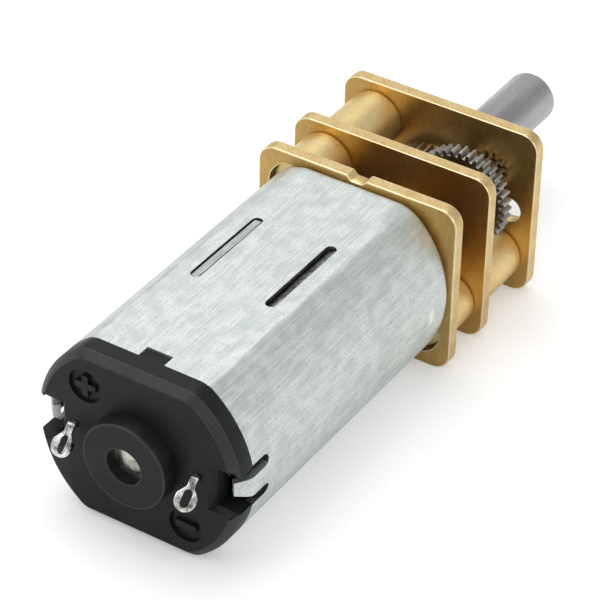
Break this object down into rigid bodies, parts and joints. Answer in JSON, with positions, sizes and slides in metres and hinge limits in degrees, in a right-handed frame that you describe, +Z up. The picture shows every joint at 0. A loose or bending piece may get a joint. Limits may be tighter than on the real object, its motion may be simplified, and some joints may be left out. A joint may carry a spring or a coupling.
{
  "type": "spur gearmotor",
  "caption": "Small flatted can motor on an open brass-plate spur gearbox, with a D-flatted output shaft in line with the motor and threaded mounting holes in the front plate.",
  "frame": {"origin": "centre of the bounding box in plan, on the plane that the plates and the end cap rest on", "axes": "+X along the output shaft, away from the motor; +Y to the left seen from behind the motor; +Z up, square to the can's flats"},
  "size_m": [0.0404, 0.012, 0.01],
  "materials": {
    "brass_plate": "satin rolled brass with lighter sawn edges",
    "plated_can": "drawn steel, dull zinc plate with faint drawing lines",
    "black_plastic": "satin moulded",
    "gear_steel": "hobbed and oiled",
    "ground_steel": "ground",
    "tinned_terminal": "bright tin",
    "screw_steel": "zinc plated",
    "bearing_bronze": "sintered bronze",
    "ferrite": "matt sintered ferrite",
    "lamination_steel": "stacked laminations",
    "copper_wire": "enamelled copper",
    "nylon": "natural nylon"
  },
  "bodies": {
    "housing": {"motor_can": "plated_can", "end_cap": "black_plastic", "terminal_left": "tinned_terminal", "terminal_right": "tinned_terminal", "brush_left": "copper_wire", "brush_right": "copper_wire", "magnet_left": "ferrite", "magnet_right": "ferrite", "motor_front_bearing": "bearing_bronze", "motor_rear_bearing": "bearing_bronze", "motor_plate": "brass_plate", "mid_plate": "brass_plate", "front_plate": "brass_plate", "rear_post_upper": "brass_plate", "rear_post_lower": "brass_plate", "front_spacer_upper": "brass_plate", "front_spacer_lower": "brass_plate", "assembly_screw_upper": "screw_steel", "assembly_screw_lower": "screw_steel", "motor_screw_upper": "screw_steel", "motor_screw_lower": "screw_steel", "gear_pin_lower": "ground_steel", "gear_pin_upper": "ground_steel", "pin_sleeve": "brass_plate", "output_bush": "brass_plate", "thrust_washer": "nylon"},
    "rotor": {"motor_shaft": "ground_steel", "armature_core": "lamination_steel", "armature_coil_1": "copper_wire", "armature_coil_2": "copper_wire", "armature_coil_3": "copper_wire", "commutator": "copper_wire", "motor_pinion": "brass_plate"},
    "first_compound": {"compound_gear_1": "gear_steel"},
    "second_compound": {"compound_gear_2": "gear_steel"},
    "third_compound": {"compound_gear_3": "gear_steel"},
    "output": {"output_gear": "gear_steel", "output_shaft": "ground_steel"}
  },
  "joints": [
    {"name": "output_turn", "type": "hinge", "parent": "housing", "child": "output", "pos_m": [0, 0, 0.005], "axis": [1, 0, 0], "continuous": true},
    {"name": "third_compound_turn", "type": "hinge", "parent": "housing", "child": "third_compound", "pos_m": [0, -0.00315, 0.00704], "axis": [1, 0, 0], "continuous": true},
    {"name": "second_compound_turn", "type": "hinge", "parent": "housing", "child": "second_compound", "pos_m": [0, 0, 0.005], "axis": [1, 0, 0], "continuous": true},
    {"name": "first_compound_turn", "type": "hinge", "parent": "housing", "child": "first_compound", "pos_m": [0, 0.00315, 0.00296], "axis": [1, 0, 0], "continuous": true},
    {"name": "rotor_turn", "type": "hinge", "parent": "housing", "child": "rotor", "pos_m": [0, 0, 0.005], "axis": [1, 0, 0], "continuous": true}
  ],
  "couplings": [
    {"joint": "third_compound_turn", "follows": "output_turn", "ratio": -2.5714},
    {"joint": "second_compound_turn", "follows": "output_turn", "ratio": 6.6122},
    {"joint": "first_compound_turn", "follows": "output_turn", "ratio": -17.003},
    {"joint": "rotor_turn", "follows": "output_turn", "ratio": 36.131}
  ]
}
